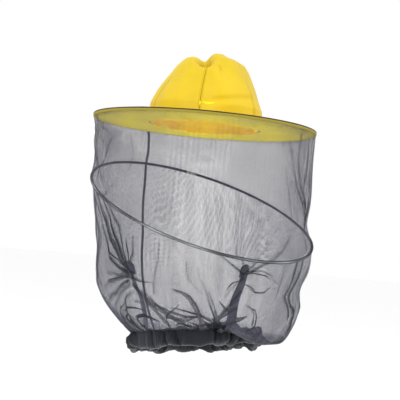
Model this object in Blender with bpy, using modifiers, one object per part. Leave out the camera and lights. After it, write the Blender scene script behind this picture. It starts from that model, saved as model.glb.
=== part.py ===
"""Beekeeping veil: a yellow sun hat with a flat sprung brim, and a net veil that hangs from the brim's edge.

The veil is held open half way down by a sprung steel hoop, and ends in an elastic hem with two elastic straps.
Units are metres. +Z runs up the hat's axis, +X across the brim to the side where the veil hangs lowest, +Y to the back.
The origin is the centre of the head opening, on the brim's middle plane.
"""
import math

import bmesh
import bpy
from mathutils import Matrix, Vector

GAP = 0.0003

# Hat
BRIM_RADIUS = 0.1900
HEAD_RADIUS = 0.0955
CLOTH = 0.0005
CROWN_CLOTH = 0.0008
CORE_HALF = 0.0010
CLOTH_INNER_Z = 0.0016
CLOTH_OUTER_RADIUS = 0.1885
CORE_OUTER_RADIUS = 0.1840
BRIM_WIRE_RING = 0.1865
BRIM_WIRE = 0.0008
BRIM_JOIN_AZIMUTH = math.radians(90)
BINDING_WIDTH = 0.0090
BINDING = 0.0005
CROWN_PROFILE = [
    (0.0985, 0.0026),
    (0.0978, 0.0310),
    (0.0890, 0.0480),
    (0.0740, 0.0740),
    (0.0570, 0.1000),
    (0.0380, 0.1140),
    (0.0180, 0.1165),
    (0.0030, 0.1150),
]
CROWN_SIDES = ("front_right", "right", "back_right", "back_left", "left", "front_left")
FRONT_SEAM_DEGREES = 267
GORE_STEPS = 6
SWEATBAND_HEIGHT = 0.0300
SWEATBAND = 0.0012

# Hoop: a circle whose plane falls to the right and to the front
HOOP_CENTRE = Vector((0.0095, 0.0, -0.1406))
HOOP_SLOPE_X = -0.2537
HOOP_SLOPE_Y = 0.3367
HOOP_RADIUS = 0.1965
HOOP_WIRE = 0.0012
HOOP_JOIN_AZIMUTH = math.radians(103)
CASING_INNER = 0.0030
CASING = 0.0004

# Hem: an oval band whose plane rises to the right and falls to the back
HEM_CENTRE = Vector((0.0175, 0.0, -0.3640))
HEM_HALF_WIDTH = 0.1035
HEM_HALF_DEPTH = 0.0850
HEM_SLOPE_X = 0.1200
HEM_SLOPE_Y = -0.2000
HEM_HEIGHT = 0.0280
HEM_THICKNESS = 0.0070
HEM_WALL = 0.0010
HEM_SLIT = 0.0040
ELASTIC_HEIGHT = 0.0180
ELASTIC = 0.0014

# Net
NET = 0.0006
NET_TOP_RADIUS = 0.1882
NET_TOP_Z = -0.0036
TIER_Z = -0.0375
NET_WAIST = 0.0050
NET_BULGE = 3.6
NET_SIDES = 40
LOWER_ROWS = 8

# Straps: each runs from the front of the lower net, just inside it, to the hem's upper edge
STRAP_WIDTH = 0.0160
STRAP = 0.0012
STRAP_CLEARANCE = 0.0065
STRAP_BOW = 0.0040
STRAP_FOOT_LIFT = 0.0050
STRAP_FOOT_INSET = 0.0110
# Azimuth and share of the upper end on the net, then the azimuth of the lower end on the hem
STRAPS = {
    "left": (math.radians(240), 0.55, math.radians(210)),
    "right": (math.radians(297), 0.25, math.radians(309)),
}
PATCH_WIDTH = 0.0180
PATCH_SHARE = 0.15
PATCH_GAP_SHARE = 0.05
SEAM_TOP_AZIMUTH = math.radians(124)
SEAM_LEAN = math.radians(7)
SEAM_WIDTH = 0.0060
SEAM_CLEARANCE = 0.0040

ROUND_STEPS = 56

for old in list(bpy.data.objects):
    bpy.data.objects.remove(old, do_unlink=True)

parts = bpy.data.collections.new("beekeeping_veil")
bpy.context.scene.collection.children.link(parts)


def material(name, colour, roughness, metallic=0.0):
    made = bpy.data.materials.new(name)
    made.use_nodes = True
    shader = made.node_tree.nodes["Principled BSDF"]
    shader.inputs["Base Color"].default_value = (*colour, 1.0)
    shader.inputs["Roughness"].default_value = roughness
    shader.inputs["Metallic"].default_value = metallic
    return made


YELLOW = material("yellow_cloth", (0.93, 0.68, 0.04), 0.55)
UNDER_YELLOW = material("brim_lining", (0.60, 0.45, 0.05), 0.70)
SWEAT = material("sweatband_cloth", (0.75, 0.46, 0.04), 0.80)
CORE = material("interlining", (0.75, 0.74, 0.70), 0.90)
STEEL = material("spring_steel", (0.62, 0.63, 0.65), 0.28, 1.0)
FERRULE = material("ferrule_metal", (0.70, 0.66, 0.55), 0.35, 1.0)
BINDING_TAPE = material("dark_tape", (0.05, 0.05, 0.06), 0.80)
NETTING = material("veil_net", (0.09, 0.09, 0.11), 0.85)
HEM_CLOTH = material("hem_cloth", (0.05, 0.055, 0.075), 0.85)
RUBBER_TAPE = material("elastic_tape", (0.08, 0.08, 0.10), 0.80)


def add(name, mesh, surface):
    """Put a mesh in the part's collection as a named object."""
    thing = bpy.data.objects.new(name, mesh)
    parts.objects.link(thing)
    thing.data.materials.append(surface)
    return thing


def wire_mesh(name, points, edges):
    mesh = bpy.data.meshes.new(name)
    mesh.from_pydata([tuple(p) for p in points], edges, [])
    return mesh


def smooth(thing, degrees=40):
    thing.data.shade_smooth()
    thing.data.set_sharp_from_angle(angle=math.radians(degrees))


def turned(name, profile, surface, closed=True, angle=360.0, steps=ROUND_STEPS):
    """Turn a profile of (radius, height) points about Z. It runs down its outer side, top to bottom."""
    count = len(profile)
    last = count if closed else count - 1
    edges = [(i, (i + 1) % count) for i in range(last)]
    thing = add(name, wire_mesh(name, [(r, 0, z) for r, z in profile], edges), surface)
    screw = thing.modifiers.new("turn", "SCREW")
    screw.angle = math.radians(angle)
    screw.steps = steps
    screw.render_steps = steps
    screw.use_merge_vertices = angle == 360.0
    screw.merge_threshold = 0.00005
    screw.use_normal_calculate = False
    screw.use_smooth_shade = True
    return thing


def thicken(thing, thickness, offset=-1.0):
    solid = thing.modifiers.new("thickness", "SOLIDIFY")
    solid.thickness = thickness
    solid.offset = offset
    solid.use_even_offset = True
    return solid


def box_profile(inner, outer, low, high):
    """A rectangle's corners, down the outer side first."""
    return [(outer, high), (outer, low), (inner, low), (inner, high)]


def lofted(name, rows, surface, closed):
    """Join rows of points into an open sheet; closed rows make a sleeve. Rows run from the top down."""
    mesh = bpy.data.meshes.new(name)
    shape = bmesh.new()
    grid = [[shape.verts.new(p) for p in row] for row in rows]
    width = len(rows[0])
    for upper, lower in zip(grid, grid[1:]):
        for i in range(width if closed else width - 1):
            j = (i + 1) % width
            shape.faces.new((upper[i], lower[i], lower[j], upper[j]))
    shape.to_mesh(mesh)
    shape.free()
    return add(name, mesh, surface)


# ---------------------------------------------------------------- hat

def make_crown():
    """Six sewn gores. Each stands off the axis a little, which leaves the seam gap between them."""
    for index, side in enumerate(CROWN_SIDES):
        turn = 360.0 / len(CROWN_SIDES)
        name = f"crown_panel_{side}"
        gore = turned(name, CROWN_PROFILE[::-1], YELLOW, closed=False, angle=turn, steps=GORE_STEPS)
        thicken(gore, CROWN_CLOTH)
        start = math.radians(FRONT_SEAM_DEGREES + turn * index)
        middle = start + math.radians(turn / 2)
        gore.rotation_euler = (0, 0, start)
        gore.location = (math.cos(middle) * GAP, math.sin(middle) * GAP, 0)


def make_sweatband():
    outer = HEAD_RADIUS - GAP
    low = -CLOTH_INNER_Z
    turned("sweatband", box_profile(outer - SWEATBAND, outer, low, low + SWEATBAND_HEIGHT), SWEAT)


def make_brim():
    """Two cloth rings over a stiff core, with a sprung wire at the edge and a tape bound over the lot."""
    low, high = CLOTH_INNER_Z, CLOTH_INNER_Z + CLOTH
    turned("brim_upper_cloth", box_profile(HEAD_RADIUS, CLOTH_OUTER_RADIUS, low, high), YELLOW)
    turned("brim_lower_cloth", box_profile(HEAD_RADIUS, CLOTH_OUTER_RADIUS, -high, -low), UNDER_YELLOW)
    turned("brim_interlining", box_profile(HEAD_RADIUS, CORE_OUTER_RADIUS, -CORE_HALF, CORE_HALF), CORE)
    face = high + GAP
    inner = BRIM_RADIUS - BINDING_WIDTH
    wall = BRIM_RADIUS - BINDING
    tape = [
        (inner, face + BINDING),
        (BRIM_RADIUS - 2 * BINDING, face + BINDING),
        (BRIM_RADIUS, face),
        (BRIM_RADIUS, -face),
        (BRIM_RADIUS - 2 * BINDING, -face - BINDING),
        (inner, -face - BINDING),
        (inner, -face),
        (wall, -face),
        (wall, face),
        (inner, face),
    ]
    turned("brim_binding_tape", tape, BINDING_TAPE)


def ring_wire(name, ring, radius, surface):
    """A round wire bent into a full ring."""
    bpy.ops.mesh.primitive_torus_add(
        major_radius=ring, minor_radius=radius, major_segments=ROUND_STEPS, minor_segments=8
    )
    thing = bpy.context.object
    for group in list(thing.users_collection):
        group.objects.unlink(thing)
    parts.objects.link(thing)
    thing.name = name
    thing.data.name = name
    thing.data.materials.append(surface)
    smooth(thing)
    return thing


def ferrule(name, ring, inner, wall, length, azimuth):
    """A crimped sleeve that joins the wire's two ends: a short curved tube."""
    turns, sides = 4, 10
    half = length / 2 / ring
    rows = []
    for row in range(turns + 1):
        angle = azimuth + half - 2 * half * row / turns
        out = Vector((math.cos(angle), math.sin(angle), 0))
        centre = out * ring
        steps = [2 * math.pi * k / sides for k in range(sides)]
        rows.append([centre + (out * math.cos(a) + Vector((0, 0, math.sin(a)))) * (inner + wall) for a in steps])
    sleeve = lofted(name, rows, FERRULE, closed=True)
    thicken(sleeve, wall)
    smooth(sleeve)
    return sleeve


# ---------------------------------------------------------------- veil

def tilted_place(centre, slope_x, slope_y):
    """The matrix that lays a flat ring on a plane of those slopes, about its centre."""
    normal = Vector((-slope_x, -slope_y, 1)).normalized()
    across = Vector((0, 1, 0)).cross(normal).normalized()
    along = normal.cross(across)
    return Matrix.Translation(centre) @ Matrix((across, along, normal)).transposed().to_4x4()


HOOP_PLACE = tilted_place(HOOP_CENTRE, HOOP_SLOPE_X, HOOP_SLOPE_Y)
HEM_PLACE = tilted_place(HEM_CENTRE, HEM_SLOPE_X, HEM_SLOPE_Y)


def hoop_point(azimuth, lift):
    """A point over (or under) the hoop's wire, lifted along the hoop's own axis."""
    return HOOP_PLACE @ Vector((math.cos(azimuth) * HOOP_RADIUS, math.sin(azimuth) * HOOP_RADIUS, lift))


def hem_point(azimuth, lift):
    """A point over the middle of the hem band."""
    return HEM_PLACE @ Vector((math.cos(azimuth) * HEM_HALF_WIDTH, math.sin(azimuth) * HEM_HALF_DEPTH, lift))


def upper_net_point(azimuth, share):
    """share runs from 0 at the brim to 1 just over the hoop's casing."""
    top = Vector((math.cos(azimuth) * NET_TOP_RADIUS, math.sin(azimuth) * NET_TOP_RADIUS, NET_TOP_Z))
    bottom = hoop_point(azimuth, CASING_INNER + CASING + GAP + NET)
    out = Vector((math.cos(azimuth), math.sin(azimuth), 0))
    return top.lerp(bottom, share) - out * NET_WAIST * math.sin(math.pi * share)


def tier_share(azimuth, height):
    """The share at which the upper net passes a given height."""
    bottom = hoop_point(azimuth, CASING_INNER + CASING + GAP + NET).z
    return (height - NET_TOP_Z) / (bottom - NET_TOP_Z)


def lower_net_point(azimuth, share):
    """share runs from 0 just under the hoop's casing to 1 just over the hem band."""
    top = hoop_point(azimuth, -CASING_INNER - CASING - GAP - NET)
    bottom = hem_point(azimuth, HEM_HEIGHT / 2 + GAP + NET)
    turn = share ** NET_BULGE
    height = top.z + (bottom.z - top.z) * share
    return Vector((top.x + (bottom.x - top.x) * turn, top.y + (bottom.y - top.y) * turn, height))


def off_net(surface, azimuth, share, out):
    """A point that stands off the net along its outward normal."""
    step = 0.01
    down = surface(azimuth, share + step) - surface(azimuth, share - step)
    along = surface(azimuth + step, share) - surface(azimuth - step, share)
    return surface(azimuth, share) + down.cross(along).normalized() * out


AZIMUTHS = [2 * math.pi * k / NET_SIDES for k in range(NET_SIDES)]


def net_sleeve(name, rows):
    sleeve = lofted(name, rows, NETTING, closed=True)
    thicken(sleeve, NET)
    smooth(sleeve, 60)
    return sleeve


def make_net():
    """The net in three tiers, parted where the veil's joints work: under the brim, and at the hoop."""
    upper = [
        [upper_net_point(a, tier_share(a, TIER_Z + GAP / 2) * row / 2) for a in AZIMUTHS]
        for row in range(3)
    ]
    net_sleeve("net_top", upper)
    middle = []
    for row in range(4):
        middle.append([])
        for a in AZIMUTHS:
            start = tier_share(a, TIER_Z - GAP / 2)
            middle[-1].append(upper_net_point(a, start + (1 - start) * row / 3))
    net_sleeve("net_middle", middle)
    shares = [math.sin(math.pi / 2 * row / LOWER_ROWS) for row in range(LOWER_ROWS + 1)]
    lower = [[lower_net_point(a, share) for a in AZIMUTHS] for share in shares]
    net_sleeve("net_lower", lower)


def strip(name, net, azimuth, shares, out, width, thickness, surface):
    """A flat tape that runs down the net at one azimuth, standing off it by the distance out."""
    rows = []
    for share in shares:
        centre = off_net(net, azimuth, share, out)
        side = (net(azimuth + 0.01, share) - net(azimuth - 0.01, share)).normalized()
        rows.append([centre - side * width / 2, centre, centre + side * width / 2])
    tape = lofted(name, rows, surface, closed=False)
    thicken(tape, thickness, offset=0.0)
    smooth(tape)
    return tape


def spread(start, end, count):
    return [start + (end - start) * k / (count - 1) for k in range(count)]


def make_straps():
    """Each strap hangs from a patch that ties it to the net, and ends just over the hem band."""
    for side, (azimuth, start, foot) in STRAPS.items():
        upper = off_net(lower_net_point, azimuth, start, -STRAP_CLEARANCE)
        inward = Vector((math.cos(foot), math.sin(foot), 0)) * STRAP_FOOT_INSET
        lower = hem_point(foot, HEM_HEIGHT / 2 + STRAP_FOOT_LIFT) - inward
        out = Vector((upper.x + lower.x - 2 * HEM_CENTRE.x, upper.y + lower.y, 0)).normalized()
        across = (lower - upper).cross(out).normalized() * STRAP_WIDTH / 2
        rows = []
        for share in spread(0.0, 1.0, 5):
            centre = upper.lerp(lower, share) - out * STRAP_BOW * math.sin(math.pi * share)
            rows.append([centre - across, centre, centre + across])
        tape = lofted(f"strap_{side}", rows, RUBBER_TAPE, closed=False)
        thicken(tape, STRAP, offset=0.0)
        smooth(tape)
        patch = spread(start - PATCH_SHARE, start - PATCH_GAP_SHARE, 2)
        strip(f"strap_patch_{side}", lower_net_point, azimuth, patch, -STRAP_CLEARANCE, PATCH_WIDTH, STRAP, HEM_CLOTH)


def leaning_net_point(azimuth, share):
    """A point of the upper net on a line that leans round from the brim to the hoop."""
    return upper_net_point(azimuth + SEAM_LEAN * share, share)


def make_back_seam():
    """The net's joining seam at the back, a bound tape inside the veil, parted where the net is."""
    hoop_azimuth = SEAM_TOP_AZIMUTH + SEAM_LEAN
    tier = tier_share((SEAM_TOP_AZIMUTH + hoop_azimuth) / 2, TIER_Z)
    runs = {
        "back_seam_top": (leaning_net_point, SEAM_TOP_AZIMUTH, spread(0.04, tier - 0.05, 3)),
        "back_seam_middle": (leaning_net_point, SEAM_TOP_AZIMUTH, spread(tier + 0.05, 0.92, 3)),
        "back_seam_lower": (lower_net_point, hoop_azimuth, spread(0.04, 0.94, 8)),
    }
    for name, (net, azimuth, shares) in runs.items():
        strip(name, net, azimuth, shares, -SEAM_CLEARANCE, SEAM_WIDTH, NET, BINDING_TAPE)


def make_hoop():
    """A sprung steel wire, the sleeve that joins its ends, and the net tunnel it runs in."""
    wire = ring_wire("hoop_wire", HOOP_RADIUS, HOOP_WIRE, STEEL)
    sleeve = ferrule("hoop_ferrule", HOOP_RADIUS, HOOP_WIRE + 0.0002, 0.0005, 0.018, HOOP_JOIN_AZIMUTH)
    slit = math.radians(24)
    sides = 8
    outer = CASING_INNER + CASING
    sweep = [math.pi - slit - (2 * math.pi - 2 * slit) * k / sides for k in range(sides + 1)]
    rim = [(HOOP_RADIUS + math.cos(a) * outer, math.sin(a) * outer) for a in sweep]
    bore = [(HOOP_RADIUS + math.cos(a) * CASING_INNER, math.sin(a) * CASING_INNER) for a in sweep[::-1]]
    casing = turned("hoop_casing", rim + bore, NETTING)
    for thing in (wire, sleeve, casing):
        thing.matrix_world = HOOP_PLACE


def make_hem():
    """A gathered cloth tunnel, open in a slit on its inside, with an elastic tape in it."""
    mid = HEM_HALF_WIDTH
    half = HEM_THICKNESS / 2
    top = HEM_HEIGHT / 2
    tunnel = [
        (mid - half, top),
        (mid + half, top),
        (mid + half, -top),
        (mid - half, -top),
        (mid - half, -HEM_SLIT / 2),
        (mid - half + HEM_WALL, -HEM_SLIT / 2),
        (mid - half + HEM_WALL, -top + HEM_WALL),
        (mid + half - HEM_WALL, -top + HEM_WALL),
        (mid + half - HEM_WALL, top - HEM_WALL),
        (mid - half + HEM_WALL, top - HEM_WALL),
        (mid - half + HEM_WALL, HEM_SLIT / 2),
        (mid - half, HEM_SLIT / 2),
    ]
    casing = turned("hem_casing", tunnel, HEM_CLOTH)
    inner = mid - ELASTIC / 2
    tape = box_profile(inner, inner + ELASTIC, -ELASTIC_HEIGHT / 2, ELASTIC_HEIGHT / 2)
    elastic = turned("hem_elastic", tape, RUBBER_TAPE)
    for thing in (casing, elastic):
        oval = Matrix.Diagonal((1, HEM_HALF_DEPTH / HEM_HALF_WIDTH, 1, 1))
        thing.matrix_world = HEM_PLACE @ oval


make_crown()
make_sweatband()
make_brim()
ring_wire("brim_edge_wire", BRIM_WIRE_RING, BRIM_WIRE, STEEL)
ferrule("brim_wire_ferrule", BRIM_WIRE_RING, BRIM_WIRE + 0.00015, 0.00035, 0.016, BRIM_JOIN_AZIMUTH)
make_hoop()
make_hem()
make_net()
make_back_seam()
make_straps()
bpy.context.view_layer.update()
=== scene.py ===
"""Looks of the beekeeping veil: a soft yellow hat, and a sheer dark net with a hoop and a drawn hem."""
import math

import bpy
import numpy as np
from mathutils import Matrix, Vector


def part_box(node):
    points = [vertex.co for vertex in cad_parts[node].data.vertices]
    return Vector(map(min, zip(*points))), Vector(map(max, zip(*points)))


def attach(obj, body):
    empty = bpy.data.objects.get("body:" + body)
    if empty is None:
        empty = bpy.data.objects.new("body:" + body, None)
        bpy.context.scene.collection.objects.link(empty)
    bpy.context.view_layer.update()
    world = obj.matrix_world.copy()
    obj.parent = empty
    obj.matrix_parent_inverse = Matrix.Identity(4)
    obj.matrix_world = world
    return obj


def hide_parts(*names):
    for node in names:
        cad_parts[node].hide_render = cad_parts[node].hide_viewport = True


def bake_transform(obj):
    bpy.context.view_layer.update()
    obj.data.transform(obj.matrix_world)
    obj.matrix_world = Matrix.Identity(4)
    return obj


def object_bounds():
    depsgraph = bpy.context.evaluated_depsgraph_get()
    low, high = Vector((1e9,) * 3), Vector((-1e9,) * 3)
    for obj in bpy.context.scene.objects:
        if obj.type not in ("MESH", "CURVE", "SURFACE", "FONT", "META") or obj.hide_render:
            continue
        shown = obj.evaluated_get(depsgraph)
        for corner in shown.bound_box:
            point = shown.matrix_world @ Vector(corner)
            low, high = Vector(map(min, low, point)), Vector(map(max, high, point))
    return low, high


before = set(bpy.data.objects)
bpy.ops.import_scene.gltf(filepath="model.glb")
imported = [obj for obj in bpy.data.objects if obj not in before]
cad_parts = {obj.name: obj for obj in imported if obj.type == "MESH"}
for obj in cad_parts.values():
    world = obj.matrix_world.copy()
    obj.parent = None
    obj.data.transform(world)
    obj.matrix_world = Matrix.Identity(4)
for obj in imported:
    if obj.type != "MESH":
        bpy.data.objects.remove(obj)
CAD_BOX = [list(corner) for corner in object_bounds()]
TAU = 2 * math.pi

# -------- places, read from the frame


def node_points(name):
    return np.array([v.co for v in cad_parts[name].data.vertices], float)


def ring_place(name):
    """The matrix that lays a flat ring where a ring-shaped node lies, and the ring's two half widths."""
    points = node_points(name)
    centre = (points.min(0) + points.max(0)) / 2
    normal = Vector(np.linalg.svd(points - centre, full_matrices=False)[2][2])
    normal = normal if normal.z > 0 else -normal
    across = Vector((0, 1, 0)).cross(normal).normalized()
    along = normal.cross(across)
    place = Matrix.Translation(Vector(centre)) @ Matrix((across, along, normal)).transposed().to_4x4()
    local = (points - centre) @ np.array(place.to_3x3())
    return place, np.abs(local[:, 0]).max(), np.abs(local[:, 1]).max()


HOOP_PLACE, HOOP_REACH, _ = ring_place("hoop_wire")
HOOP_WIRE = (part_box("brim_edge_wire")[1].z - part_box("brim_edge_wire")[0].z) * 0.75
HOOP_RADIUS = HOOP_REACH - HOOP_WIRE
HEM_PLACE, HEM_HALF_WIDTH, HEM_HALF_DEPTH = ring_place("hem_elastic")
BRIM_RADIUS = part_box("brim_binding_tape")[1].x
BRIM_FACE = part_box("brim_binding_tape")[1].z
FLAT_ROUND = TAU * BRIM_RADIUS
UPPER_LENGTH = 0.200
LOWER_LENGTH = 0.190
NET_THICKNESS = 0.0006
NET_TOP_RADIUS = BRIM_RADIUS - 0.0012
NET_TOP_Z = -0.0020
TIER_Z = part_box("net_middle")[1].z
CROWN_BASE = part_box("crown_panel_right")[1].x
BRIM_STITCHES = (BRIM_RADIUS - 0.0120, CROWN_BASE + 0.0045)
HEM_HEIGHT = 0.0280

# -------- camera, light and floor

CAMERA_DISTANCE = 1.5
CAMERA_TARGET = Vector((0.003, 0.0, -0.127))
CAMERA_ELEVATION = math.radians(-1.57)
CAMERA_ROLL = math.radians(5.11)
CAMERA_LENS = 79.2
FLOOR_Z = CAD_BOX[0][2] - 0.16


def make_camera():
    data = bpy.data.cameras.new("camera")
    data.lens = CAMERA_LENS
    data.sensor_width = 36
    data.clip_end = 50
    camera = bpy.data.objects.new("camera", data)
    bpy.context.scene.collection.objects.link(camera)
    back = Vector((0, -math.cos(CAMERA_ELEVATION), math.sin(CAMERA_ELEVATION)))
    camera.location = CAMERA_TARGET + back * CAMERA_DISTANCE
    turn = (-back).to_track_quat("-Z", "Y").to_matrix()
    camera.rotation_euler = (turn @ Matrix.Rotation(CAMERA_ROLL, 3, "Z")).to_euler()
    bpy.context.scene.camera = camera


def make_light(name, place, aim, size, watts):
    data = bpy.data.lights.new(name, "AREA")
    data.shape = "DISK"
    data.size = size
    data.energy = watts
    light = bpy.data.objects.new(name, data)
    bpy.context.scene.collection.objects.link(light)
    light.location = place
    light.rotation_euler = (Vector(aim) - Vector(place)).to_track_quat("-Z", "Y").to_euler()


def make_studio():
    world = bpy.data.worlds.new("studio")
    bpy.context.scene.world = world
    world.use_nodes = True
    world.node_tree.nodes["Background"].inputs["Color"].default_value = (1, 1, 1, 1)
    bpy.context.scene.view_settings.view_transform = "Standard"
    make_light("key", (-0.7, -1.3, 1.0), (0, 0, 0.05), 0.6, 9)
    make_light("side", (1.1, -0.5, 0.9), (0.05, 0, 0.05), 0.5, 4)
    make_light("under", (0.0, 0.0, FLOOR_Z + 0.01), (0, 0, 0), 0.5, 1.3)
    bpy.ops.mesh.primitive_plane_add(size=14, location=(0, 0, FLOOR_Z))
    floor = bpy.context.object
    floor.name = "floor"
    paper = bpy.data.materials.new("paper")
    paper.use_nodes = True
    shader = paper.node_tree.nodes["Principled BSDF"]
    look = {"Base Color": (0.97, 0.97, 0.97, 1), "Roughness": 0.9, "Specular IOR Level": 0.1}
    for name, value in look.items():
        shader.inputs[name].default_value = value
    floor.data.materials.append(paper)


make_camera()
make_studio()

# -------- materials


class Graph:
    """A material's node tree with short calls for the few kinds of node used here."""

    def __init__(self, name):
        self.material = bpy.data.materials.new(name)
        self.material.use_nodes = True
        self.tree = self.material.node_tree
        self.shader = self.tree.nodes["Principled BSDF"]
        self.out = self.tree.nodes["Material Output"]

    def node(self, kind, **settings):
        made = self.tree.nodes.new(kind)
        for key, value in settings.items():
            setattr(made, key, value)
        return made

    def join(self, value, socket):
        if isinstance(value, bpy.types.NodeSocket):
            self.tree.links.new(value, socket)
        else:
            socket.default_value = value

    def math(self, operation, a, b=0.0, c=0.0):
        made = self.node("ShaderNodeMath", operation=operation)
        for value, socket in zip((a, b, c), made.inputs):
            self.join(value, socket)
        return made.outputs[0]

    def add(self, a, b):
        return self.math("ADD", a, b)

    def times(self, a, b):
        return self.math("MULTIPLY", a, b)

    def set(self, name, value):
        """Set or link an input of the shader."""
        self.join(value, self.shader.inputs[name])

    def attribute(self, name):
        return self.node("ShaderNodeAttribute", attribute_name=name).outputs["Fac"]

    def place(self):
        return self.node("ShaderNodeTexCoord").outputs["Object"]

    def uv(self):
        split = self.node("ShaderNodeSeparateXYZ")
        self.join(self.node("ShaderNodeUVMap", uv_map="flat").outputs[0], split.inputs[0])
        return split.outputs[0], split.outputs[1]

    def round_place(self):
        """The place on the object, its three coordinates, and its radius and turn about the hat's axis."""
        place, split = self.place(), self.node("ShaderNodeSeparateXYZ")
        self.join(place, split.inputs[0])
        x, y, z = split.outputs
        radius = self.math("SQRT", self.add(self.math("POWER", x, 2), self.math("POWER", y, 2)))
        return place, (x, y, z), radius, self.math("ARCTAN2", y, x)

    def noise(self, vector, scale, detail):
        made = self.node("ShaderNodeTexNoise")
        self.join(vector, made.inputs["Vector"])
        made.inputs["Scale"].default_value = scale
        made.inputs["Detail"].default_value = detail
        return made.outputs[0]

    def ramp(self, value, a, b, low=0.3, high=0.7):
        """Maps value from low..high onto a..b, clamped."""
        made = self.node("ShaderNodeMapRange", interpolation_type="SMOOTHSTEP")
        for number, socket in zip((value, low, high, a, b), made.inputs):
            self.join(number, socket)
        return made.outputs[0]

    def mix(self, share, a, b):
        made = self.node("ShaderNodeMix", data_type="RGBA")
        for value, socket in ((share, "Factor"), (a, 6), (b, 7)):
            self.join(value, made.inputs[socket])
        return made.outputs[2]

    def bump(self, height, strength, distance):
        made = self.node("ShaderNodeBump")
        made.inputs["Strength"].default_value = strength
        made.inputs["Distance"].default_value = distance
        self.join(height, made.inputs["Height"])
        self.set("Normal", made.outputs[0])


def tone(colour, factor=1.0):
    return tuple(min(1.0, c * factor) for c in colour) + (1.0,)


def thread_wave(g, coordinate, pitch):
    """A run of threads along one coordinate, 0 between threads and 1 on their backs."""
    return g.math("ABSOLUTE", g.math("SINE", g.times(coordinate, math.pi / pitch)))


def dashes(g, across, along, offset, pitch, width):
    """A line of stitches at a set distance from an edge: 1 on the thread, 0 off it."""
    near = g.math("ABSOLUTE", g.math("SUBTRACT", across, offset))
    line = g.math("LESS_THAN", near, width)
    beat = g.math("FRACT", g.math("DIVIDE", along, pitch))
    return g.times(line, g.math("LESS_THAN", beat, 0.62))


def cloth(
    name, colour, pitch, roughness, sheen=0.0, stitched=(), rows=False, variation=0.10, painted_glow=0.0, depth=False
):
    """A woven cloth on flat coordinates in metres: warp and weft, slow colour variation, wear and stitches.
    Stitches run at set distances along u, or along v with rows. glow is painted light: an emission in the
    cloth's own colour that stands in for light through thin cloth. depth paints shade: it darkens the cloth
    by the attribute "valley", which marks the valleys between pleats."""
    g = Graph(name)
    u, v = g.uv()
    if rows:
        u, v = v, u
    weave = g.add(thread_wave(g, u, pitch), thread_wave(g, v, pitch))
    place = g.place()
    slow = g.noise(place, 16.0, 3.0)
    fine = g.noise(place, 900.0, 2.0)
    mixed = g.add(g.times(slow, 0.7), g.times(fine, 0.3))
    shade = g.ramp(mixed, 0.0, 1.0, 0.35, 0.65)
    base = g.mix(shade, tone(colour, 1 - variation), tone(colour, 1 + variation * 0.5))
    height = g.add(g.times(weave, 0.35), g.times(slow, 0.5))
    for offset in stitched:
        stitch = dashes(g, u, v, offset, 0.0034, 0.00045)
        base = g.mix(stitch, base, tone(colour, 0.62))
        height = g.add(height, g.times(stitch, 1.2))
    # painted shade: where the attribute "valley" is high, the colour is darkened towards black
    if depth:
        valley = g.attribute("valley")
        base = g.mix(g.times(valley, 0.9), base, tone(colour, 0.12))
    # painted light: the cloth glows in its own colour, standing in for light through thin cloth
    g.set("Emission Color", base)
    g.set("Emission Strength", painted_glow)
    g.set("Base Color", base)
    g.set("Roughness", g.ramp(fine, roughness - 0.06, roughness + 0.08))
    g.set("Sheen Weight", sheen)
    g.set("Sheen Roughness", 0.4)
    g.set("Specular IOR Level", 0.28)
    g.bump(height, 0.35, 0.0004)
    return g.material


def netting(name, colour, pitch, thread):
    """Knotted net: two slanting families of threads on flat coordinates in metres, clear between them.
    The attribute "gather" says how many times its flat width the net is drawn in; where it is drawn in, the
    threads are also darkened as painted shade of the folds."""
    g = Graph(name)
    u, v = g.uv()
    place = g.place()
    wander = g.times(g.math("SUBTRACT", g.noise(place, 55.0, 2.0), 0.5), pitch * 0.7)
    u = g.add(u, wander)
    gather = g.attribute("gather")
    patches = g.ramp(g.noise(place, 9.0, 2.0), 0.88, 1.14)
    width = g.times(g.times(gather, patches), thread / pitch / 2)
    masks = []
    for lean in (1.0, -1.0):
        slant = g.add(g.math("DIVIDE", u, pitch), g.math("DIVIDE", v, lean * pitch * 1.35))
        offset = g.math("ABSOLUTE", g.math("SUBTRACT", g.math("FRACT", slant), 0.5))
        masks.append(g.math("LESS_THAN", offset, width))
    cover = g.math("MAXIMUM", *masks)
    base = g.mix(g.ramp(g.noise(place, 120.0, 2.0), 0.0, 1.0), tone(colour, 0.8), tone(colour, 1.25))
    # painted shade: the threads darken where the net is gathered, most in its folds
    base = g.mix(g.ramp(gather, 0.0, 1.0, 1.1, 2.8), base, tone(FOLD_SHADE_COLOUR))
    g.set("Base Color", base)
    g.set("Roughness", 0.75)
    g.set("Sheen Weight", 0.05)
    g.set("Specular IOR Level", 0.2)
    g.bump(g.noise(place, 1500.0, 1.0), 0.3, 0.0002)
    clear = g.node("ShaderNodeBsdfTransparent")
    both = g.node("ShaderNodeMixShader")
    g.join(cover, both.inputs[0])
    g.join(clear.outputs[0], both.inputs[1])
    g.join(g.shader.outputs[0], both.inputs[2])
    g.join(both.outputs[0], g.out.inputs["Surface"])
    return g.material


def steel(name, colour, roughness):
    g = Graph(name)
    place = g.place()
    worn = g.noise(place, 240.0, 3.0)
    g.set("Base Color", g.mix(worn, tone(colour, 0.8), tone(colour, 1.1)))
    g.set("Roughness", g.ramp(worn, roughness * 0.7, roughness * 1.4))
    g.set("Metallic", 1.0)
    g.bump(g.noise(place, 900.0, 2.0), 0.15, 0.0002)
    return g.material


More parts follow.
